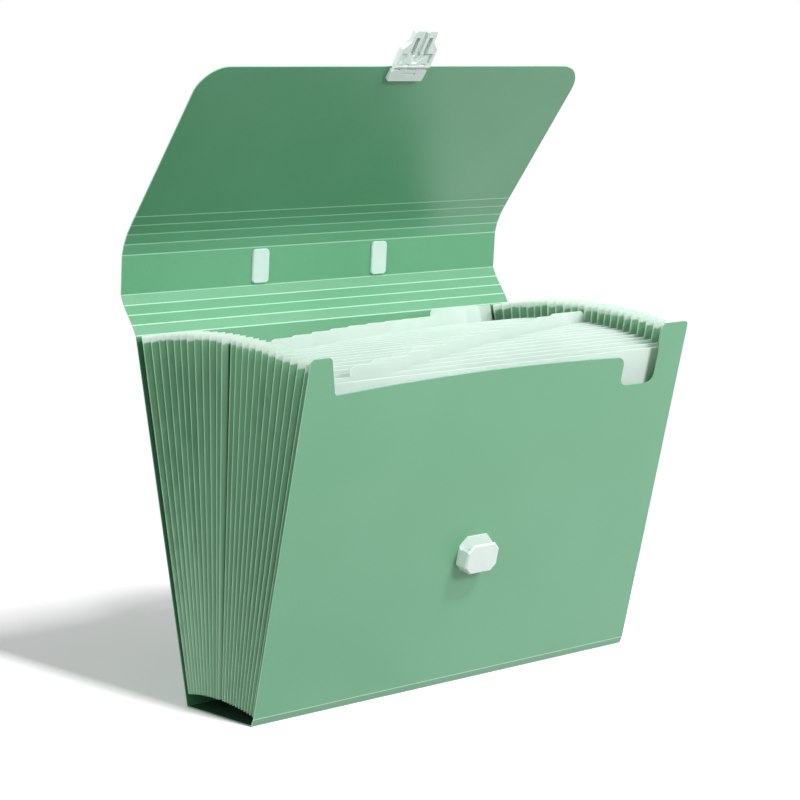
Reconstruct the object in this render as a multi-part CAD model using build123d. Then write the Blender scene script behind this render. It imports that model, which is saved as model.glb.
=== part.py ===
from build123d import *
import os
from math import cos, radians, sin

# Expanding file: a creased plastic cover round a fan of tabbed pockets, with a plug-in latch.
# Millimetres, +Z up, front towards -Y, origin at the middle of the face it stands on.

# Cover sheet
cover_width = 330.0
cover_thickness = 0.8
base_depth = 64.0
kick_height = 5.0
front_panel_height = 233.0
back_panel_height = 235.6
strip_pitch = 7.35
band_height = 25.5
flap_length = 118.5
flap_corner_radius = 20.0
crease_clearance = 0.05
base_crease_clearance = 0.1

# Leans from upright in the open position, positive towards the back
back_lean = 12.0
front_lean = -14.0
kick_lean = -26.0
lower_strip_leans = (30.0, 36.0, 36.0, 26.0)
band_lean = -4.0
upper_strip_leans = (-18.0, -28.0, -35.0, -38.0)
flap_lean = -38.0

# Front panel's cut-out and thumb notch
left_ear_width = 16.0
left_ear_foot_width = 23.0
right_ear_width = 24.0
cutout_depth = 24.5
cutout_right_depth = 21.5
cutout_rise = 3.5
notch_width = 32.0
notch_depth = 41.5
notch_radius = 6.0
ear_corner_radius = 3.0

# Pockets
pocket_count = 24
pockets_in_unit = 12
sheet_thickness = 0.35
lining_gap = 0.1
bellows_slack = 0.15
sheet_rise = 7.5
shoulder_height = 223.0
tab_height = 7.0
rear_tab_height = 12.0
rear_tab_count = 3
tab_width = 34.0
tab_left_margin = 24.0
tab_corner_radius = 4.0
foot_gap = 0.15
gusset_depth = 16.0
gusset_height = 235.0
gusset_gap = 0.2
gusset_fold_wall = 2.0

# How far each pleat stands open, from the back to the front
pleat_opening_shares = (
    1.45, 1.35, 1.25, 1.2, 1.0, 0.9, 0.95, 1.2,
    1.1, 1.05, 0.95, 0.75, 0.95, 0.75, 0.85, 0.7,
    0.95, 0.7, 0.85, 0.95, 0.95, 0.9, 1.0, 1.05,
)

# Carrying handle
handle_spacing = 105.0
cap_width = 14.0
cap_height = 23.0
cap_thickness = 1.6
cap_corner_radius = 3.0
cap_edge_chamfer = 0.6
post_width = 5.0
post_height = 11.0
post_clearance = 0.1
anchor_thickness = 4.2
strap_width = 19.0
strap_thickness = 2.4
strap_rise = 17.0
strap_seat_depth = 2.0

# Latch on the flap
latch_width = 30.0
latch_base_height = 8.8
latch_base_thickness = 3.0
latch_edge_margin = 0.6
latch_corner_radius = 1.2
relief_width = 12.0
relief_height = 1.6
relief_depth = 0.8
relief_drop = 3.0
hinge_reach = 2.6
hinge_radius = 2.0
pin_radius = 0.8
pin_clearance = 0.08
knuckle_width = 4.6
knuckle_spacing = 14.0
knuckle_gap = 0.3
tongue_length = 27.0
tongue_shoulder = 13.0
tongue_tip_width = 18.8
tongue_thickness = 3.6
tongue_tilt = 5.0
prong_slot_width = 3.2
prong_slot_start = 9.6
prong_groove_width = 3.2
prong_groove_depth = 2.2
prong_tip_radius = 2.6
recess_width = 26.0
recess_height = 7.4
recess_rise = 2.6
recess_depth = 1.5
web_width = 9.6
web_height = 6.0
web_spacing = 14.0
window_width = 7.0
window_height = 3.4
window_rise = 4.8
plate_thickness = 1.2
stake_radius = 1.5
stake_spacing = 18.0
stake_clearance = 0.1

# Catch on the front panel
catch_width = 28.4
catch_height = 23.0
catch_plate_thickness = 1.2
catch_plate_chamfer = 6.0
catch_foot_chamfer = 4.6
catch_centre_drop = 144.5
housing_width = 27.4
housing_height = 20.0
housing_depth = 8.0
housing_wall = 1.4
housing_corner = 4.6
housing_chamfer = 0.9

# Cutting tools run past what they cut by this much
overrun = 5.0


def along(point, lean, distance):
    """The point a distance up a sheet that leans by this angle."""
    y, z = point
    return y + distance * sin(radians(lean)), z + distance * cos(radians(lean))


def ahead(point, lean, distance):
    """The point a distance in front of a sheet that leans by this angle."""
    y, z = point
    return y - distance * cos(radians(lean)), z + distance * sin(radians(lean))


def sheet_plane(point, lean):
    """A sheet's own plane: x across, y up the sheet, z out of its front face."""
    y, z = point
    return Plane(
        origin=(0, y, z),
        x_dir=(1, 0, 0),
        z_dir=(0, -cos(radians(lean)), sin(radians(lean))),
    )


half_sheet = cover_thickness / 2
half_width = cover_width / 2
divider_width = cover_width - 2 * gusset_depth
lining_offset = half_sheet + lining_gap + sheet_thickness / 2

# Creases of the cover from the base round to the flap
back_crease = (base_depth / 2, half_sheet)
front_crease = (-base_depth / 2, half_sheet)
kick_crease = along(front_crease, kick_lean, kick_height)
cover_chain = [("back_panel", back_lean, back_panel_height)]
cover_chain += [(f"lower_strip_{n}", lean, strip_pitch) for n, lean in enumerate(lower_strip_leans, 1)]
cover_chain += [("band", band_lean, band_height)]
cover_chain += [(f"upper_strip_{n}", lean, strip_pitch) for n, lean in enumerate(upper_strip_leans, 1)]
cover_chain += [("flap", flap_lean, flap_length)]
cover_planes = {}
crease = back_crease
for piece, lean, length in cover_chain:
    cover_planes[piece] = sheet_plane(crease, lean)
    crease = along(crease, lean, length)
front_plane = sheet_plane(kick_crease, front_lean)

# The pockets' sheets, hinged to each other at the foot of each pleat
kick_offset = kick_height * sin(radians(front_lean - kick_lean))
pocket_pitch = (base_depth + kick_offset - 2 * lining_offset - bellows_slack) / pocket_count
opening = back_lean - front_lean
sheet_leans = [back_lean]
sheet_feet = [ahead(back_crease, back_lean, lining_offset)]
for share in pleat_opening_shares:
    pivot = ahead(sheet_feet[-1], sheet_leans[-1], pocket_pitch / 2)
    sheet_leans.append(sheet_leans[-1] - opening * share / sum(pleat_opening_shares))
    sheet_feet.append(ahead(pivot, sheet_leans[-1], pocket_pitch / 2))


def rod(radius, length):
    """A round bar across the file."""
    return Cylinder(radius=radius, height=length, rotation=(0, 90, 0))


def upright(width, height):
    """A rectangle that stands on the sheet's lower edge."""
    return Pos(0, height / 2) * Rectangle(width, height)


def corner(outline, x, y):
    """The corner of an outline nearest to a place."""
    return outline.vertices().sort_by_distance((x, y, 0))[0]


def cover_sheet(outline, upper_crease=None):
    """A stretch of the cover with a round lower edge, hollowed at its top for the next one."""
    sheet = extrude(outline, amount=half_sheet, both=True) + rod(half_sheet, cover_width)
    if upper_crease is None:
        return sheet
    groove = rod(half_sheet + crease_clearance, cover_width + 2 * overrun)
    return sheet - Pos(0, upper_crease, 0) * groove


def base_panel():
    depth = base_depth - 2 * (half_sheet + base_crease_clearance)
    return Pos(0, 0, half_sheet) * Box(cover_width, depth, cover_thickness)


def back_panel():
    return cover_sheet(upright(cover_width, back_panel_height), back_panel_height)


def front_outline():
    """The front panel with its arched cut-out, thumb notch and two ears."""
    top = front_panel_height
    cut = top - cutout_depth
    cut_right = top - cutout_right_depth
    notch_right = half_width - right_ear_width
    notch_left = notch_right - notch_width
    cut_left = left_ear_foot_width - half_width
    ear_left = left_ear_width - half_width
    rim = Polyline(
        (cut_left, cut), (ear_left, top), (-half_width, top), (-half_width, 0), (half_width, 0),
        (half_width, top), (notch_right, top), (notch_right, top - notch_depth),
        (notch_left, top - notch_depth), (notch_left, cut_right),
    )
    arch = ThreePointArc(
        (notch_left, cut_right), ((notch_left + cut_left) / 2, (cut + cut_right) / 2 + cutout_rise),
        (cut_left, cut),
    )
    outline = make_face([rim, arch])
    notch_corners = [
        corner(outline, notch_right, top - notch_depth),
        corner(outline, notch_left, top - notch_depth),
        corner(outline, notch_left, cut_right),
    ]
    outline = fillet(notch_corners, notch_radius)
    ear_corners = [
        corner(outline, ear_left, top),
        corner(outline, -half_width, top),
        corner(outline, half_width, top),
        corner(outline, notch_right, top),
        corner(outline, cut_left, cut),
    ]
    return fillet(ear_corners, ear_corner_radius)


def stakes(radius, height):
    """A pair of round stakes side by side."""
    return [
        Pos(side * stake_spacing / 2, 0, 0) * Cylinder(radius=radius, height=height)
        for side in (-1, 1)
    ]


catch_centre = front_panel_height - catch_centre_drop
latch_base_top = flap_length - latch_edge_margin
latch_base_centre = latch_base_top - latch_base_height / 2


def front_panel():
    kick = sheet_plane(front_crease, kick_lean) * cover_sheet(upright(cover_width, kick_height))
    panel = cover_sheet(front_outline())
    for hole in stakes(stake_radius + stake_clearance, cover_thickness + 2 * overrun):
        panel -= Pos(0, catch_centre, 0) * hole
    return kick + front_plane * panel


def strip():
    return cover_sheet(upright(cover_width, strip_pitch), strip_pitch)


def post_places():
    """The middle of each handle end on the band."""
    return [Pos(side * handle_spacing / 2, band_height / 2, 0) for side in (-1, 1)]


def band():
    sheet = cover_sheet(upright(cover_width, band_height), band_height)
    slot = Box(
        post_width + 2 * post_clearance, post_height + 2 * post_clearance, cover_thickness + 2 * overrun
    )
    for place in post_places():
        sheet -= place * slot
    return sheet


def flap():
    outline = upright(cover_width, flap_length)
    ends = [corner(outline, side * half_width, flap_length) for side in (-1, 1)]
    sheet = cover_sheet(fillet(ends, flap_corner_radius))
    for hole in stakes(stake_radius + stake_clearance, cover_thickness + 2 * overrun):
        sheet -= Pos(0, latch_base_centre, 0) * hole
    return sheet


def tab_outline(place, rise):
    """A sheet's outline with its tab, the tabs stepping leftwards from the right-hand side."""
    step = (divider_width - tab_width - tab_left_margin) / (pockets_in_unit - 1)
    x = (divider_width - tab_width) / 2 - place * step
    body_height = shoulder_height - sheet_rise
    body = Pos(0, sheet_rise + body_height / 2) * Rectangle(divider_width, body_height)
    tab = Pos(x, shoulder_height + rise / 2) * Rectangle(tab_width, rise)
    top = shoulder_height + rise
    outline = body + tab
    ends = [corner(outline, x + side * tab_width / 2, top) for side in (-1, 1)]
    return fillet(ends, tab_corner_radius)


def pocket_sheet(n):
    """A pocket's rear wall with its tab, and the folded foot that floors the pocket."""
    rise = rear_tab_height if n < rear_tab_count else tab_height
    wall = extrude(tab_outline(n % pockets_in_unit, rise), amount=sheet_thickness / 2, both=True)
    foot_reach = pocket_pitch - sheet_thickness / 2 - foot_gap
    foot = Pos(0, sheet_rise + sheet_thickness / 2, foot_reach / 2) * Box(
        divider_width, sheet_thickness, foot_reach
    )
    return wall + foot


def front_lining():
    height = shoulder_height - sheet_rise
    wall = Pos(0, sheet_rise + height / 2) * Rectangle(divider_width, height)
    return extrude(wall, amount=sheet_thickness / 2, both=True)


def fold_lines(side):
    """The gusset's folds from back to front, each as its lower and upper end."""
    inner_x = side * (divider_width / 2 + gusset_gap)
    ridge_x = side * (half_width - gusset_fold_wall)
    walls = [
        [along(foot, lean, height) for height in (sheet_rise, gusset_height)]
        for foot, lean in zip(sheet_feet, sheet_leans)
    ]
    lines = []
    for rear, fore in zip(walls, walls[1:]):
        lines.append([Vector(inner_x, *end) for end in rear])
        ridge = [((a[0] + b[0]) / 2, (a[1] + b[1]) / 2) for a, b in zip(rear, fore)]
        lines.append([Vector(ridge_x, *end) for end in ridge])
    return lines + [[Vector(inner_x, *end) for end in walls[-1]]]


def facets(a, b, c, d):
    """The two flat triangles of a four-sided patch."""
    return [Face(Wire.make_polygon(ends)) for ends in ((a, b, c), (a, c, d))]


def gusset(side):
    """One pleated side of the bellows, its wall laid off outwards at the folds."""
    wall = Vector(side * gusset_fold_wall, 0, 0)
    inner_lines = fold_lines(side)
    outer_lines = [[end + wall for end in line] for line in inner_lines]
    skin = []
    for (a, b), (d, c) in zip(inner_lines, inner_lines[1:]):
        skin += facets(a, b, c, d)
    for (a, b), (d, c) in zip(outer_lines, outer_lines[1:]):
        skin += facets(a, d, c, b)
    for inner_rim, outer_rim in zip(zip(*inner_lines), zip(*outer_lines)):
        for a, b, c, d in zip(inner_rim, inner_rim[1:], outer_rim[1:], outer_rim):
            skin += facets(a, b, c, d)
    for end in (0, -1):
        (a, b), (d, c) = inner_lines[end], outer_lines[end]
        skin += facets(a, b, c, d)
    return Solid(Shell(skin)).fix()


def cap_block(thickness):
    """A rounded block of the handle's end outline."""
    outline = RectangleRounded(cap_width, cap_height, cap_corner_radius)
    return extrude(outline, amount=thickness)


def handle_caps():
    """The two bars on the band's inner face, with the posts that go through it."""
    cap = cap_block(cap_thickness)
    cap = chamfer(cap.faces().sort_by(Axis.Z)[-1].edges(), cap_edge_chamfer)
    depth = cover_thickness + strap_seat_depth
    post = Pos(0, 0, -depth / 2) * Box(post_width, post_height, depth)
    return [place * Pos(0, 0, half_sheet) * (cap + post) for place in post_places()]


def handle_anchors():
    """The two blocks on the band's outer face that hold the strap's ends."""
    block = cap_block(anchor_thickness)
    block = chamfer(block.faces().sort_by(Axis.Z)[-1].edges(), cap_edge_chamfer)
    seat = Pos(0, 0, strap_seat_depth / 2) * Box(
        post_width + 2 * post_clearance, post_height + 2 * post_clearance, strap_seat_depth
    )
    block -= seat
    turned = Rot(0, 180, 0) * block
    return [place * Pos(0, 0, -half_sheet) * turned for place in post_places()]


def handle_strap():
    """The arched strap between the anchors, its feet seated on them."""
    end = handle_spacing / 2
    foot = half_sheet + anchor_thickness
    crown = foot + strap_rise
    foot_end = end + cap_width / 2 - cap_corner_radius
    inner = [(-foot_end, foot), (-end, foot), (0, crown), (end, foot), (foot_end, foot)]
    outer = [(x, n + strap_thickness) for x, n in inner]
    lower_arch = ThreePointArc(inner[1], inner[2], inner[3])
    upper_arch = ThreePointArc(outer[1], outer[2], outer[3])
    rim = [
        Line(inner[0], inner[1]), lower_arch, Line(inner[3], inner[4]), Line(inner[4], outer[4]),
        Line(outer[4], outer[3]), upper_arch, Line(outer[1], outer[0]), Line(outer[0], inner[0]),
    ]
    profile = Plane(origin=(0, band_height / 2, 0), x_dir=(1, 0, 0), z_dir=(0, 1, 0)) * make_face(rim)
    return extrude(profile, amount=strap_width / 2, both=True)


hinge_height = flap_length + hinge_reach
hinge_offset = half_sheet + hinge_radius


def knuckle_places():
    return [Pos(side * knuckle_spacing / 2, hinge_height, hinge_offset) for side in (-1, 1)]


def pin_bore():
    bore = rod(pin_radius + pin_clearance, latch_width + 2 * overrun)
    return Pos(0, hinge_height, hinge_offset) * bore


def latch_base():
    """The plate on the flap's inner face, with two knuckles past the flap's edge and two stakes."""
    outline = RectangleRounded(latch_width, latch_base_height, latch_corner_radius)
    plate = Pos(0, latch_base_centre, half_sheet) * extrude(outline, amount=latch_base_thickness)
    relief = Box(relief_width, relief_height, 2 * relief_depth)
    plate -= Pos(0, latch_base_top - relief_drop, half_sheet + latch_base_thickness) * relief
    for stake in stakes(stake_radius, cover_thickness):
        plate += Pos(0, latch_base_centre, 0) * stake
    reach = hinge_height - latch_base_top
    arm_centre = half_sheet + latch_base_thickness / 2
    for place in knuckle_places():
        arm = Box(knuckle_width, reach, latch_base_thickness)
        plate += Pos(place.position.X, latch_base_top + reach / 2, arm_centre) * arm
        plate += place * rod(hinge_radius, knuckle_width)
    return plate - pin_bore()


def latch_tongue():
    """The forked plug, hinged between and outside the base's knuckles."""
    half_root, half_tip = latch_width / 2, tongue_tip_width / 2
    outline = make_face(
        Polyline(
            (-half_root, 0), (half_root, 0), (half_root, tongue_shoulder),
            (half_tip, tongue_shoulder + (half_root - half_tip)), (half_tip, tongue_length),
            (-half_tip, tongue_length), (-half_tip, tongue_shoulder + (half_root - half_tip)),
            (-half_root, tongue_shoulder), close=True,
        )
    )
    slot_length = tongue_length - prong_slot_start + overrun
    outline -= Pos(0, prong_slot_start + slot_length / 2) * Rectangle(prong_slot_width, slot_length)
    tips = outline.vertices().group_by(Axis.Y)[-1]
    outline = fillet(tips, prong_tip_radius)
    outline -= Pos(0, window_rise) * make_face(
        Polyline((0, 0), (window_width / 2, window_height), (-window_width / 2, window_height), close=True)
    )
    tongue = extrude(outline, amount=tongue_thickness / 2, both=True)
    recess = Pos(0, recess_rise + recess_height / 2) * Rectangle(recess_width, recess_height)
    for side in (-1, 1):
        recess -= Pos(side * web_spacing / 2, recess_rise) * make_face(
            Polyline((-web_width / 2, 0), (web_width / 2, 0), (0, web_height), close=True)
        )
    tongue -= Pos(0, 0, tongue_thickness / 2 - recess_depth) * extrude(recess, amount=recess_depth + overrun)
    tongue += rod(hinge_radius, latch_width)
    prong_centre = (half_tip + prong_slot_width / 2) / 2
    groove_length = tongue_length - prong_slot_start - 2 * prong_tip_radius
    groove = Box(prong_groove_width, groove_length, 2 * prong_groove_depth)
    for side in (-1, 1):
        place = Pos(side * prong_centre, prong_slot_start + groove_length / 2, tongue_thickness / 2)
        tongue -= place * groove
    room = knuckle_width + 2 * knuckle_gap
    hollow = hinge_radius + knuckle_gap
    for side in (-1, 1):
        tongue -= Pos(side * knuckle_spacing / 2, 0, 0) * Box(room, 2 * hollow, 2 * hollow)
    return Pos(0, hinge_height, hinge_offset) * Rot(-tongue_tilt, 0, 0) * tongue - pin_bore()


def latch_pin():
    return Pos(0, hinge_height, hinge_offset) * rod(pin_radius, latch_width)


def latch_plate():
    """The plain plate on the flap's outer face, opposite the latch."""
    outline = RectangleRounded(latch_width, latch_base_height, latch_corner_radius)
    return Pos(0, latch_base_centre, -half_sheet - plate_thickness) * extrude(outline, amount=plate_thickness)


def catch_plate():
    """The catch's back plate with clipped corners, staked through the front panel."""
    outline = Rectangle(catch_width, catch_height)
    outline = chamfer(outline.vertices().group_by(Axis.Y)[-1], catch_plate_chamfer)
    outline = chamfer(outline.vertices().group_by(Axis.Y)[0], catch_foot_chamfer)
    plate = Pos(0, 0, half_sheet) * extrude(outline, amount=catch_plate_thickness)
    for stake in stakes(stake_radius, cover_thickness):
        plate += stake
    return Pos(0, catch_centre, 0) * plate


def catch_housing():
    """The pocket that the tongue plugs down into, with clipped corners and an open top."""
    outline = Rectangle(housing_width, housing_height)
    block = extrude(chamfer(outline.vertices(), housing_corner), amount=housing_depth)
    block = chamfer(block.faces().sort_by(Axis.Z)[-1].edges(), housing_chamfer)
    inside = Pos(0, housing_wall) * Rectangle(housing_width - 2 * housing_wall, housing_height)
    inside = chamfer(inside.vertices().group_by(Axis.Y)[0], housing_corner)
    block -= extrude(inside, amount=housing_depth - housing_wall)
    drop = (catch_height - housing_height) / 2
    return Pos(0, catch_centre - drop, half_sheet + catch_plate_thickness) * block


pieces = {
    "base_panel": base_panel(),
    "front_panel": front_panel(),
    "back_panel": cover_planes["back_panel"] * back_panel(),
    "band": cover_planes["band"] * band(),
    "flap": cover_planes["flap"] * flap(),
    "left_gusset": gusset(-1),
    "right_gusset": gusset(1),
    "handle_caps": Compound([cover_planes["band"] * cap for cap in handle_caps()]),
    "handle_anchors": Compound([cover_planes["band"] * block for block in handle_anchors()]),
    "handle_strap": cover_planes["band"] * handle_strap(),
    "latch_base": cover_planes["flap"] * latch_base(),
    "latch_tongue": cover_planes["flap"] * latch_tongue(),
    "latch_pin": cover_planes["flap"] * latch_pin(),
    "latch_plate": cover_planes["flap"] * latch_plate(),
    "catch_plate": front_plane * catch_plate(),
    "catch_housing": front_plane * catch_housing(),
    "front_lining": sheet_plane(sheet_feet[-1], sheet_leans[-1]) * front_lining(),
}
for piece in cover_planes:
    if "strip" in piece:
        pieces[piece] = cover_planes[piece] * strip()
for n in range(pocket_count):
    node = f"divider_{n:02d}" if n else "back_lining"
    pieces[node] = sheet_plane(sheet_feet[n], sheet_leans[n]) * pocket_sheet(n)

os.makedirs("parts", exist_ok=True)
for node, solid in pieces.items():
    export_step(solid, f"parts/{node}.step")
print(f"pocket pitch {pocket_pitch:.4f} mm, {len(pieces)} nodes")
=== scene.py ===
import bpy
import bmesh
from math import cos, dist, radians, sin
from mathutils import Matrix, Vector


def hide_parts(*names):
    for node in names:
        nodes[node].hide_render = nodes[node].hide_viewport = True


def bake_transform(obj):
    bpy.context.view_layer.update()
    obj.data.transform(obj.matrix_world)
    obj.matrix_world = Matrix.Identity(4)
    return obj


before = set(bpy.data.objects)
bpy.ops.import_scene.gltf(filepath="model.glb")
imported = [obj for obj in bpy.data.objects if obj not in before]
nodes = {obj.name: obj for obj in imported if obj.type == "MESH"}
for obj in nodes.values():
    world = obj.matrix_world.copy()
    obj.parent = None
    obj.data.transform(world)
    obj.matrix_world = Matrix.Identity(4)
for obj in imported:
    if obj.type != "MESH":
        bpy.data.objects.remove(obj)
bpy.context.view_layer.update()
mm = 0.001
print("frame loaded:", len(nodes), "nodes")

# the file's own geometry in millimetres and degrees, as the solids have it
cover = {
    "halfSheet": 0.4, "baseHalf": 32.0, "baseLean": 90.0, "kickHeight": 5.0,
    "backLean": 12.0, "frontLean": -14.0, "kickLean": -26.0,
    "panelLength": 235.6, "stripLength": 7.35, "bandLength": 25.5, "flapLength": 118.5,
    "lowerLeans": [30.0, 36.0, 36.0, 26.0], "bandLean": -4.0,
    "upperLeans": [-18.0, -28.0, -35.0, -38.0], "flapLean": -38.0,
}
bellows = {
    "count": 24, "inUnit": 12, "liningOffset": 0.675, "slack": 0.15, "rise": 7.5, "top": 235.0,
    "innerX": 149.2, "ridgeX": 164.6, "foldRadius": 0.55, "foldSegments": 3, "wall": 0.24, "rows": 16,
    "gapLean": 0.2,  # how far the ridges beside the gap lean apart, in pleat widths
    "pitch": (2.65, 7.3),  # from ridge to ridge, at the foot and at the top
    "smoothAngle": 40.0,
    "shares": [1.45, 1.35, 1.25, 1.2, 1.0, 0.9, 0.95, 1.2, 1.1, 1.05, 0.95, 0.75, 0.95, 0.75, 0.85, 0.7, 0.95,
               0.7, 0.85, 0.95, 0.95, 0.9, 1.0, 1.05],
}
# the pleats on both sides of the gap between the two units of pockets
rearUnitEnd = bellows["inUnit"] - 1
frontUnitEnd = bellows["inUnit"]


# places in the side view are pairs of y and z
def upSheet(point, lean, distance):
    return point[0] + distance * sin(radians(lean)), point[1] + distance * cos(radians(lean))


def inFront(point, lean, distance):
    return point[0] - distance * cos(radians(lean)), point[1] + distance * sin(radians(lean))


def midpoint(first, second):
    return (first[0] + second[0]) / 2, (first[1] + second[1]) / 2


def coverStretches():
    # name, lean and length of each stretch, from the base to the flap's end
    strip = cover["stripLength"]
    lower = [(f"lower_strip_{k}", lean, strip) for k, lean in enumerate(cover["lowerLeans"], 1)]
    upper = [(f"upper_strip_{k}", lean, strip) for k, lean in enumerate(cover["upperLeans"], 1)]
    back = ("back_panel", cover["backLean"], cover["panelLength"])
    band = ("band", cover["bandLean"], cover["bandLength"])
    flap = ("flap", cover["flapLean"], cover["flapLength"])
    return [back, *lower, band, *upper, flap]


def foldPoints():
    points = [(cover["baseHalf"], cover["halfSheet"])]
    for piece, lean, length in coverStretches():
        points.append(upSheet(points[-1], lean, length))
    return points


coverFolds = foldPoints()
frontFold = (-cover["baseHalf"], cover["halfSheet"])
kickFold = upSheet(frontFold, cover["kickLean"], cover["kickHeight"])


def pocketFan():
    # lean and foot of every pocket sheet, from the back lining to the front one
    kickOffset = cover["kickHeight"] * sin(radians(cover["frontLean"] - cover["kickLean"]))
    room = 2 * cover["baseHalf"] + kickOffset - 2 * bellows["liningOffset"] - bellows["slack"]
    pitch = room / bellows["count"]
    opening = cover["backLean"] - cover["frontLean"]
    leans = [cover["backLean"]]
    feet = [inFront(coverFolds[0], cover["backLean"], bellows["liningOffset"])]
    for share in bellows["shares"]:
        pivot = inFront(feet[-1], leans[-1], pitch / 2)
        leans.append(leans[-1] - opening * share / sum(bellows["shares"]))
        feet.append(inFront(pivot, leans[-1], pitch / 2))
    return leans, feet


sheetLeans, sheetFeet = pocketFan()


# shader sums written as Python
class Wire:
    def __init__(self, tree, socket=None):
        self.tree = tree
        self.socket = socket

    def node(self, kind, settings=None, sockets=None, out=0):
        made = self.tree.nodes.new(kind)
        for name, value in (settings or {}).items():
            setattr(made, name, value)
        for name, value in (sockets or {}).items():
            if isinstance(value, Wire):
                self.tree.links.new(value.socket, made.inputs[name])
            else:
                made.inputs[name].default_value = value
        return Wire(self.tree, made.outputs[out])

    def maths(self, operation, *values):
        return self.node("ShaderNodeMath", {"operation": operation}, dict(enumerate(values)))

    def __add__(self, other):
        return self.maths("ADD", self, other)

    def __radd__(self, other):
        return self.maths("ADD", other, self)

    def __sub__(self, other):
        return self.maths("SUBTRACT", self, other)

    def __rsub__(self, other):
        return self.maths("SUBTRACT", other, self)

    def __mul__(self, other):
        return self.maths("MULTIPLY", self, other)

    def __rmul__(self, other):
        return self.maths("MULTIPLY", other, self)

    def __truediv__(self, other):
        return self.maths("DIVIDE", self, other)

    def __rtruediv__(self, other):
        return self.maths("DIVIDE", other, self)

    def __abs__(self):
        return self.maths("ABSOLUTE", self)

    def axis(self, letter):
        return self.node("ShaderNodeSeparateXYZ", None, {0: self}, letter)

    def ramp(self, low, high, atLow=0.0, atHigh=1.0):
        spans = {"From Min": low, "From Max": high, "To Min": atLow, "To Max": atHigh}
        return self.node("ShaderNodeMapRange", {"interpolation_type": "SMOOTHSTEP"}, {"Value": self, **spans})

    def mix(self, factor, first, second):
        made = {"data_type": "RGBA", "blend_type": "MIX"}
        return self.node("ShaderNodeMix", made, {0: factor, 6: first, 7: second}, 2)


white = (1, 1, 1, 1)
black = (0, 0, 0, 1)
noiseSpan = (0.3, 0.7)  # most values of a noise lie here


def linear(red, green, blue):
    # a screen colour as the shader's linear light
    def one(value):
        value /= 255
        return value / 12.92 if value <= 0.04045 else ((value + 0.055) / 1.055) ** 2.4
    return one(red), one(green), one(blue), 1.0


def newFinish(name):
    material = bpy.data.materials.new(name)
    material.use_nodes = True
    tree = material.node_tree
    shader = tree.nodes["Principled BSDF"]
    return material, Wire(tree), shader


def feed(wire, shader, name):
    wire.tree.links.new(wire.socket, shader.inputs[name])


def surface(material, wire):
    material.node_tree.links.new(wire.socket, material.node_tree.nodes["Material Output"].inputs["Surface"])


def thin(material, shader, colour, share):
    # part of the light goes through the sheet
    start = Wire(material.node_tree)
    through = start.node("ShaderNodeBsdfTranslucent", None, {"Color": colour})
    plain = Wire(material.node_tree, shader.outputs[0])
    surface(material, start.node("ShaderNodeMixShader", None, {0: share, 1: plain, 2: through}))


def place(wire, kind):
    return wire.node("ShaderNodeTexCoord", None, None, kind)


def stretch(wire, vector, scales):
    return wire.node("ShaderNodeVectorMath", {"operation": "MULTIPLY"}, {0: vector, 1: scales}, 0)


def spots(wire, vector, scale, detail=2.0):
    return wire.node("ShaderNodeTexNoise", None, {"Vector": vector, "Scale": scale, "Detail": detail})


def bump(wire, height, strength, depth):
    return wire.node("ShaderNodeBump", None, {"Height": height, "Strength": strength, "Distance": depth * mm})


def dress(node, material):
    nodes[node].data.materials.clear()
    nodes[node].data.materials.append(material)


# satin green sheet: fine sand grain, whitened bending lines, cut edges lightened as painted highlight, and
# inside faces darker as painted shade
coverLook = {
    "outside": (107, 167, 130), "inside": (85, 153, 111), "shadowed": (20, 48, 34), "pale": (150, 206, 174),
    "crease": (184, 226, 203), "creaseHalf": 0.45, "creaseBlur": (0.5, 2.2), "creaseShare": 0.95,
    "edge": (134, 196, 158), "edgeSpan": (0.3, 0.75), "sideSpan": (-0.2, 0.2),
    "cloudScale": 9.0, "cloudShare": 0.08,
    "grainScale": 2600.0, "grainDetail": 3.0, "grainSpan": (0.35, 0.65), "grainShare": 0.10,
    "grainDepth": 0.06, "bump": 0.35,
    "rough": 0.25, "roughGrain": 0.10, "roughOutside": 0.08, "shine": 0.5,
}


def creaseLines(coordinates, folds):
    y = coordinates.axis("Y")
    z = coordinates.axis("Z")
    near = (coverLook["creaseHalf"] * mm) ** 2
    ends = [near * blur for blur in coverLook["creaseBlur"]]
    lines = None
    for foldY, foldZ in folds:
        off = (y - foldY * mm) * (y - foldY * mm) + (z - foldZ * mm) * (z - foldZ * mm)
        line = off.ramp(*ends, 1.0, 0.0)
        lines = line if lines is None else line.maths("MAXIMUM", lines, line)
    return lines


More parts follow.
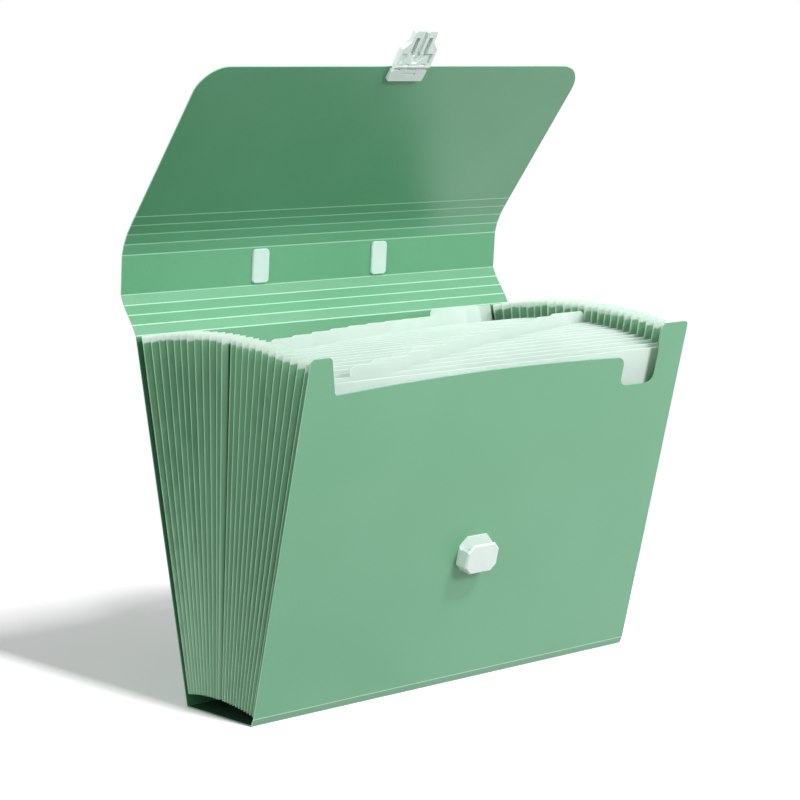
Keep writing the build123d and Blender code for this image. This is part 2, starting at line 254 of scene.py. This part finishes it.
def coverFinish(name, lean, folds, inside="inside", outward=-1):
    # outward is 1 where the sheet's outside faces the front, and -1 where it faces the back
    material, start, shader = newFinish(name)
    coordinates = place(start, "Object")
    facing = place(start, "Normal")
    grain = spots(start, coordinates, coverLook["grainScale"], coverLook["grainDetail"])
    clouds = spots(start, coordinates, coverLook["cloudScale"])
    normal = (0.0, -cos(radians(lean)), sin(radians(lean)))
    along = start.node("ShaderNodeVectorMath", {"operation": "DOT_PRODUCT"}, {0: facing, 1: normal}, "Value")
    # faces across the sheet, its cut edges, are lightened: painted highlight
    edge = abs(along).ramp(*coverLook["edgeSpan"], 1.0, 0.0)
    face = (along * outward).ramp(*coverLook["sideSpan"])
    # inside faces take the darker green: painted shade, as the sheet is one green through
    plain = start.mix(face, linear(*coverLook[inside]), linear(*coverLook["outside"]))
    cloudy = clouds.ramp(*noiseSpan, 0.0, coverLook["cloudShare"])
    sandy = grain.ramp(*coverLook["grainSpan"], 0.0, coverLook["grainShare"])
    body = start.mix(cloudy + sandy, plain, linear(*coverLook["pale"]))
    edged = start.mix(edge, body, linear(*coverLook["edge"]))
    creases = creaseLines(coordinates, folds) * coverLook["creaseShare"]
    feed(start.mix(creases, edged, linear(*coverLook["crease"])), shader, "Base Color")
    rough = grain * coverLook["roughGrain"] + face * coverLook["roughOutside"] + coverLook["rough"]
    feed(rough, shader, "Roughness")
    feed(bump(start, grain, coverLook["bump"], coverLook["grainDepth"]), shader, "Normal")
    shader.inputs["Specular IOR Level"].default_value = coverLook["shine"]
    return material


for number, (piece, lean, length) in enumerate(coverStretches()):
    ends = [coverFolds[number]] if piece == "flap" else [coverFolds[number], coverFolds[number + 1]]
    dress(piece, coverFinish("green_" + piece, lean, ends))
frontEnds = [frontFold, kickFold]
baseEnds = [coverFolds[0], frontFold]
dress("front_panel", coverFinish("green_front_panel", cover["frontLean"], frontEnds, outward=1))
# the base panel's inside is painted near black-green: painted shade of the cavity under the pockets
dress("base_panel", coverFinish("green_base_panel", cover["baseLean"], baseEnds, "shadowed"))
print("cover dressed")

# frosted pale sheets of the pockets, with cut edges lightened as painted highlight and a welded green margin
# darkened as painted shade
sheetLook = {
    "mint": (223, 234, 229), "cloud": (214, 227, 221), "rim": (232, 240, 236), "rimSpan": (0.3, 0.8),
    "weldInShade": (14, 84, 46), "frontWeld": (131.5, 136.0), "backWeld": (146.0, 147.0),
    "cloudScale": 14.0, "frostScale": 1800.0, "frostDetail": 3.0, "frostDepth": 0.04, "bump": 0.2,
    "rough": 0.49, "roughFrost": 0.12, "shine": 0.35, "glow": (250, 255, 252), "through": 0.5,
}


def sheetFinish(name, weldInShade=None):
    material, start, shader = newFinish(name)
    coordinates = place(start, "Object")
    # the sheets' cut edges are lightened: painted highlight
    edge = abs(place(start, "Normal").axis("Y")).ramp(*sheetLook["rimSpan"], 1.0, 0.0)
    frost = spots(start, coordinates, sheetLook["frostScale"], sheetLook["frostDetail"])
    clouds = spots(start, coordinates, sheetLook["cloudScale"])
    body = start.mix(clouds.ramp(*noiseSpan), linear(*sheetLook["mint"]), linear(*sheetLook["cloud"]))
    if weldInShade:
        # the right gusset's green margin shows where it is welded on, painted dark green as painted shade
        begins, ends = sheetLook[weldInShade]
        margin = coordinates.axis("X").ramp(begins * mm, ends * mm)
        body = start.mix(margin, body, linear(*sheetLook["weldInShade"]))
    feed(start.mix(edge, body, linear(*sheetLook["rim"])), shader, "Base Color")
    feed(frost * sheetLook["roughFrost"] + sheetLook["rough"], shader, "Roughness")
    feed(bump(start, frost, sheetLook["bump"], sheetLook["frostDepth"]), shader, "Normal")
    shader.inputs["Specular IOR Level"].default_value = sheetLook["shine"]
    thin(material, shader, linear(*sheetLook["glow"]), sheetLook["through"])
    return material


mintSheet = sheetFinish("frosted_mint_sheet")
for node in nodes:
    if node.startswith("divider_"):
        dress(node, mintSheet)
for end in ("front", "back"):
    dress(end + "_lining", sheetFinish(f"frosted_mint_{end}_lining", end + "Weld"))

# moulded mint plastic of the handle, latch and catch
mouldLook = {
    "handle": (194, 218, 207), "latch": (224, 238, 231), "cloudLift": 5, "cloudScale": 60.0,
    "fineScale": 900.0, "fineDepth": 0.05, "bump": 0.12, "rough": 0.33, "roughFine": 0.10, "shine": 0.45,
}


def mouldFinish(name, mint):
    material, start, shader = newFinish(name)
    coordinates = place(start, "Object")
    fine = spots(start, coordinates, mouldLook["fineScale"])
    clouds = spots(start, coordinates, mouldLook["cloudScale"])
    lighter = [min(255, part + mouldLook["cloudLift"]) for part in mint]
    feed(start.mix(clouds.ramp(*noiseSpan), linear(*mint), linear(*lighter)), shader, "Base Color")
    feed(fine * mouldLook["roughFine"] + mouldLook["rough"], shader, "Roughness")
    feed(bump(start, fine, mouldLook["bump"], mouldLook["fineDepth"]), shader, "Normal")
    shader.inputs["Specular IOR Level"].default_value = mouldLook["shine"]
    return material


handleMint = mouldFinish("moulded_mint_handle", mouldLook["handle"])
latchMint = mouldFinish("moulded_mint_latch", mouldLook["latch"])
for node in ("handle_caps", "handle_anchors", "handle_strap"):
    dress(node, handleMint)
for node in ("latch_base", "latch_tongue", "latch_pin", "latch_plate", "catch_plate", "catch_housing"):
    dress(node, latchMint)
print("sheets and mouldings dressed")

# pleated sides: green with pale fold lines that are painted highlight and a pale top rim that is partly
# painted highlight; painted light towards the top, front, foot and inner faces, and painted shade in the
# crevices and in the gap between the units
# a reach is a stretch of the height, as shares, or of y in metres for the front; the pair after it holds the
# values at the two ends of that reach
pleatLook = {
    "green": (118, 172, 134), "light": (150, 204, 166), "paintedInnerLight": 0.5,
    "streakScale": (60, 420, 6), "streakDetail": 3.0, "streakTone": (0.1, 0.7),
    "bandScale": (9, 70, 4), "bandTone": (0.0, 0.4),
    "frontReach": (-0.05, 0.06), "paintedFrontLight": (0.95, -0.35),
    "footReach": (0.0, 0.9), "paintedFootLight": (0.8, -0.4),
    "topReach": (0.86, 0.97), "paintedTopLight": (0.0, 0.35),
    "crevice": (38, 84, 56), "coveredSpan": (0.45, 0.95),
    "creviceReach": (0.0, 0.5), "creviceShare": (0.2, 0.8),
    "fold": (204, 240, 216), "foldReach": (0.0, 0.7), "foldWidth": (3.6, 1.1), "foldTip": 0.1,
    "foldSpan": (0.25, 0.6), "foldShare": (0.5, 0.95),
    "rim": (230, 241, 235), "rimReach": (0.977, 0.984), "ragged": 0.004,
    "rootLine": (0.4, 1.4), "rootShare": 0.9,
    "gapShade": (10, 36, 22), "slitFore": (0.37, 0.33), "slitRear": (0.63, 0.67), "sideSpan": (-0.005, 0.005),
    "bump": 0.3, "rough": 0.45, "roughGrain": 0.10, "shine": 0.35, "through": 0.25,
}


def leafTone(coordinates, height, streaks, bands, raggedHeight):
    # 0 is the plain green and 1 the light one: random streaks and bands, and painted light near the top,
    #                                           towards the front and towards the foot
    tone = streaks.ramp(*noiseSpan, *pleatLook["streakTone"]) + bands.ramp(*noiseSpan, *pleatLook["bandTone"])
    tone = tone + raggedHeight.ramp(*pleatLook["topReach"], *pleatLook["paintedTopLight"])
    tone = tone + coordinates.axis("Y").ramp(*pleatLook["frontReach"], *pleatLook["paintedFrontLight"])
    return tone + height.ramp(*pleatLook["footReach"], *pleatLook["paintedFootLight"])


def creviceShade(depth, height):
    # shade where the next fold covers the leaf
    low, high = bellows["pitch"]
    pitch = height * ((high - low) * mm) + low * mm
    covered = (depth / pitch).ramp(*pleatLook["coveredSpan"])
    return covered * height.ramp(*pleatLook["creviceReach"], *pleatLook["creviceShare"])


# pale lines along the fold ridges, wider towards the foot: painted highlight
def foldHighlight(across, height):
    widths = [width * mm for width in pleatLook["foldWidth"]]
    wide = height.ramp(*pleatLook["foldReach"], *widths)
    ridge = bellows["ridgeX"] * mm
    return abs(across).ramp(ridge - wide, ridge - pleatLook["foldTip"] * mm)


def rootLine(across):
    ends = [(bellows["innerX"] + reach) * mm for reach in pleatLook["rootLine"]]
    return abs(across).ramp(*ends, 1.0, 0.0) * pleatLook["rootShare"]


def pleatFinish(name, slit=None):
    material, start, shader = newFinish(name)
    coordinates = place(start, "Object")
    across = coordinates.axis("X")
    uv = place(start, "UV")
    height = uv.axis("Y")
    grain = spots(start, coordinates, coverLook["grainScale"], coverLook["grainDetail"])
    drawn = stretch(start, coordinates, pleatLook["streakScale"])
    streaks = spots(start, drawn, 1.0, pleatLook["streakDetail"])
    bands = spots(start, stretch(start, coordinates, pleatLook["bandScale"]), 1.0)
    outer = (place(start, "Normal").axis("X") * across).ramp(*pleatLook["sideSpan"])
    raggedHeight = height + streaks.ramp(*noiseSpan, -pleatLook["ragged"], pleatLook["ragged"])
    # inner faces are lightened: painted light
    tone = leafTone(coordinates, height, streaks, bands, raggedHeight) + (1 - outer) * pleatLook["paintedInnerLight"]
    leaf = start.mix(tone, linear(*pleatLook["green"]), linear(*pleatLook["light"]))
    shade = creviceShade(bellows["ridgeX"] * mm - abs(across), height) * outer
    body = start.mix(shade, leaf, linear(*pleatLook["crevice"]))
    fold = foldHighlight(across, height) * streaks.ramp(*pleatLook["foldSpan"], *pleatLook["foldShare"])
    lined = start.mix(fold, body, linear(*pleatLook["fold"]))
    lined = start.mix(rootLine(across) * (1 - outer), lined, linear(*pleatLook["rim"]))
    if slit:
        # painted shade where the gap between the two units of pockets shows from outside
        lined = start.mix(uv.axis("X").ramp(*pleatLook[slit]) * outer, lined, linear(*pleatLook["gapShade"]))
    # pale top rim: the pleats' top edges, lightened further as painted highlight
    rim = raggedHeight.ramp(*pleatLook["rimReach"])
    feed(start.mix(rim, lined, linear(*pleatLook["rim"])), shader, "Base Color")
    feed(grain * pleatLook["roughGrain"] + pleatLook["rough"], shader, "Roughness")
    feed(bump(start, grain, pleatLook["bump"], coverLook["grainDepth"]), shader, "Normal")
    shader.inputs["Specular IOR Level"].default_value = pleatLook["shine"]
    thin(material, shader, linear(*pleatLook["fold"]), pleatLook["through"])
    return material


pleatGreen = pleatFinish("pleated_green")
unitEndGreen = {
    rearUnitEnd: pleatFinish("pleated_green_rear_unit_end", "slitFore"),
    frontUnitEnd: pleatFinish("pleated_green_front_unit_end", "slitRear"),
}


def deselectAll():
    for thing in bpy.context.selected_objects:
        thing.select_set(False)


def pick(piece, kind, test):
    # selects by place: a vertex, or an edge whose two ends both pass
    bpy.ops.mesh.select_all(action="DESELECT")
    bpy.ops.mesh.select_mode(type="VERT" if kind == "verts" else "EDGE")
    shape = bmesh.from_edit_mesh(piece.data)
    for item in getattr(shape, kind):
        places = [item.co] if kind == "verts" else [corner.co for corner in item.verts]
        if test(*places):
            item.select_set(True)
    shape.select_flush_mode()
    bmesh.update_edit_mesh(piece.data)


def pleatEnds(number, distance):
    # where the sheets behind and in front of a pleat stand, this far up
    return [upSheet(sheetFeet[k], sheetLeans[k], distance) for k in (number, number + 1)]


def ridgeLean(number):
    return {rearUnitEnd: bellows["gapLean"], frontUnitEnd: -bellows["gapLean"]}.get(number, 0.0)


def makePleat(name, side, number):
    low = pleatEnds(number, bellows["rise"])
    high = pleatEnds(number, bellows["top"])
    lowWidth = dist(*low) * mm
    highWidth = dist(*high) * mm
    length = dist(midpoint(*low), midpoint(*high)) * mm
    innerX = bellows["innerX"] * mm
    ridgeOut = bellows["ridgeX"] * mm - innerX
    flat = 1e-6
    # a flat strip at the sheets' edges, with a ridge pulled out of its middle
    deselectAll()
    bpy.ops.mesh.primitive_plane_add(size=1.0, location=(0, 0, 0), rotation=(radians(90), 0, radians(90)))
    piece = bpy.context.object
    piece.name = name
    piece.scale = (lowWidth, length, 1.0)
    piece.location = (side * innerX, 0, length / 2)
    bpy.ops.object.transform_apply(location=True, rotation=True, scale=True)
    bpy.ops.object.mode_set(mode="EDIT")
    pick(piece, "edges", lambda a, b: abs(a.z - b.z) < flat)
    bpy.ops.mesh.subdivide(number_cuts=1)
    pick(piece, "verts", lambda a: abs(a.y) < flat)
    bpy.ops.transform.translate(value=(side * ridgeOut, ridgeLean(number) * lowWidth, 0))
    # wider at the top, as the fan opens
    pick(piece, "verts", lambda a: a.z > length / 2)
    bpy.ops.transform.resize(value=(1, highWidth / lowWidth, 1), center_override=(0, 0, length))
    pick(piece, "edges", lambda a, b: abs(a.x - b.x) < flat and abs(a.x) > innerX + flat)
    bpy.ops.mesh.bevel(offset=bellows["foldRadius"] * mm, segments=bellows["foldSegments"], profile=0.5)
    pick(piece, "edges", lambda a, b: abs(a.z - b.z) > length / 2)
    bpy.ops.mesh.subdivide(number_cuts=bellows["rows"])
    # leaned halfway between its two sheets and set on their feet
    lean = (sheetLeans[number] + sheetLeans[number + 1]) / 2
    footY, footZ = midpoint(*low)
    bpy.ops.mesh.select_all(action="SELECT")
    bpy.ops.transform.rotate(value=radians(lean), orient_axis="X", center_override=(0, 0, 0))
    bpy.ops.transform.translate(value=(0, footY * mm, footZ * mm))
    bpy.ops.mesh.normals_make_consistent(inside=False)
    bpy.ops.object.mode_set(mode="OBJECT")
    wall = piece.modifiers.new("wall", "SOLIDIFY")
    wall.thickness = bellows["wall"] * mm
    wall.offset = 0.0
    bpy.ops.object.modifier_apply(modifier="wall")
    bpy.ops.object.shade_smooth_by_angle(angle=radians(bellows["smoothAngle"]))
    piece.data.materials.append(unitEndGreen.get(number, pleatGreen))
    return piece


chain = ["back"] + [f"sheet_{k:02d}" for k in range(1, bellows["count"])] + ["front_sheet"]
for side, sideName in ((-1, "left"), (1, "right")):
    for number in range(bellows["count"]):
        pleat = makePleat(f"{sideName}_pleat_{number + 1:02d}", side, number)
        start, end = pleatEnds(number, bellows["rise"])
        chain[number + 1]
        start[0] * mm
        start[1] * mm
        end[0] * mm
        end[1] * mm
        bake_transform(pleat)
        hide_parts(sideName + "_gusset")
    print(sideName, "pleats made")

# floor: shaded round the object, plain white to the camera further off
# a bright card on it shows in reflections alone
floorLook = {
    "size": 12.0, "drop": 0.2, "white": 0.94, "bounce": 0.16, "rough": 0.9, "shine": 0.1,
    "lift": 0.16, "glow": 1.35, "card": (-0.45, -0.2), "cardEnd": (0.8, 1.1), "fade": (0.3, 0.48),
}
deselectAll()
bpy.ops.mesh.primitive_plane_add(size=floorLook["size"], location=(0, 0, -floorLook["drop"] * mm))
floor = bpy.context.object
floor.name = "floor"


def lightPaths(start):
    seen = start.node("ShaderNodeLightPath", None, None, "Is Camera Ray")
    shine = start.node("ShaderNodeLightPath", None, None, "Is Glossy Ray")
    through = start.node("ShaderNodeLightPath", None, None, "Is Transmission Ray")
    return seen, seen.maths("MAXIMUM", shine, through)


def grey(level):
    return level, level, level, 1


def floorFinish():
    material, start, shader = newFinish("pale_floor")
    shader.inputs["Roughness"].default_value = floorLook["rough"]
    shader.inputs["Specular IOR Level"].default_value = floorLook["shine"]
    coordinates = place(start, "Object")
    away = start.node("ShaderNodeVectorMath", {"operation": "LENGTH"}, {0: coordinates}, "Value")
    seen, shine = lightPaths(start)
    feed(start.mix(seen, grey(floorLook["bounce"]), grey(floorLook["white"])), shader, "Base Color")
    card = shine * coordinates.axis("X").ramp(*floorLook["card"])
    strongest = floorLook["lift"] + floorLook["glow"]
    level = seen * (floorLook["lift"] / strongest) + card * (floorLook["glow"] / strongest)
    feed(start.mix(level, black, white), shader, "Emission Color")
    shader.inputs["Emission Strength"].default_value = strongest
    lit = Wire(material.node_tree, shader.outputs[0])
    plain = start.node("ShaderNodeEmission", None, {"Color": white, "Strength": 1.0})
    fade = away.ramp(*floorLook["fade"]) * seen + away.ramp(*floorLook["cardEnd"]) * shine
    surface(material, start.node("ShaderNodeMixShader", None, {0: fade, 1: lit, 2: plain}))
    return material


floor.data.materials.append(floorFinish())

# light and camera
studio = {"ambient": 0.38, "camera": 1.0}
world = bpy.data.worlds.new("studio")
bpy.context.scene.world = world
world.use_nodes = True


def worldFinish():
    start = Wire(world.node_tree)
    background = world.node_tree.nodes["Background"]
    seen, shine = lightPaths(start)
    level = seen.maths("MAXIMUM", seen, shine) * (studio["camera"] - studio["ambient"]) + studio["ambient"]
    feed(level, background, "Strength")
    background.inputs["Color"].default_value = white


worldFinish()

lamps = {
    "key": {"place": (0.75, -1.5, 2.1), "aim": (0, 0, 0.15), "size": (0.35, 0.35), "power": 28.0},
    "front": {"place": (0.8, -2.3, 1.25), "aim": (0, 0, 0.2), "size": (0.9, 0.8), "power": 39.0},
    "right": {"place": (1.6, -1.0, 1.7), "aim": (0, 0, 0.2), "size": (1.0, 1.0), "power": 3.0},
    "left": {"place": (-1.8, -0.2, 1.0), "aim": (-0.16, 0, 0.1), "size": (1.0, 0.6), "power": 25.0,
             "link": "EXCLUDE", "targets": ["floor", "base_panel", "back_panel"]},
    "back": {"place": (0.7, 2.3, 1.3), "aim": (0, 0, 0.2), "size": (1.2, 1.0), "power": 30.0,
             "link": "EXCLUDE", "targets": ["floor"]},
    "rightSide": {"place": (1.8, 0.4, 0.8), "aim": (0.16, 0, 0.1), "size": (1.0, 0.6), "power": 16.0,
                  "link": "EXCLUDE", "targets": ["floor", "base_panel", "back_panel"]},
    "sweep": {"place": (-0.06, -1.5, 2.3), "aim": (0, 0, 0), "size": (0.2, 0.7), "power": 70.0,
              "link": "INCLUDE", "targets": ["floor"]},
}


def linkLamp(light, lamp):
    # lights only its targets, or all but its targets
    linked = bpy.data.collections.new(light.name + "_targets")
    for target in lamp["targets"]:
        linked.objects.link(floor if target == "floor" else nodes[target])
    for item in linked.collection_objects:
        item.light_linking.link_state = lamp["link"]
    light.light_linking.receiver_collection = linked


for name, lamp in lamps.items():
    data = bpy.data.lights.new(name, "AREA")
    data.shape = "RECTANGLE"
    data.size, data.size_y = lamp["size"]
    data.energy = lamp["power"]
    light = bpy.data.objects.new(name, data)
    bpy.context.scene.collection.objects.link(light)
    light.location = lamp["place"]
    light.rotation_euler = (Vector(lamp["aim"]) - Vector(lamp["place"])).to_track_quat("-Z", "Y").to_euler()
    if "link" in lamp:
        linkLamp(light, lamp)

view = {
    "place": (-1.0833, -1.1796, 0.4021), "yaw": 42.213, "pitch": 7.781,
    "focalPixels": 2467.6, "imagePixels": 800, "sensor": 36.0, "far": 50.0,
}
cameraData = bpy.data.cameras.new("camera")
camera = bpy.data.objects.new("camera", cameraData)
bpy.context.scene.collection.objects.link(camera)
camera.location = view["place"]
camera.rotation_euler = (radians(90 - view["pitch"]), 0, radians(-view["yaw"]))
cameraData.sensor_width = view["sensor"]
cameraData.lens = view["focalPixels"] / view["imagePixels"] * view["sensor"]
cameraData.clip_end = view["far"]
bpy.context.scene.camera = camera
bpy.context.scene.view_settings.view_transform = "Standard"
print("stage set")
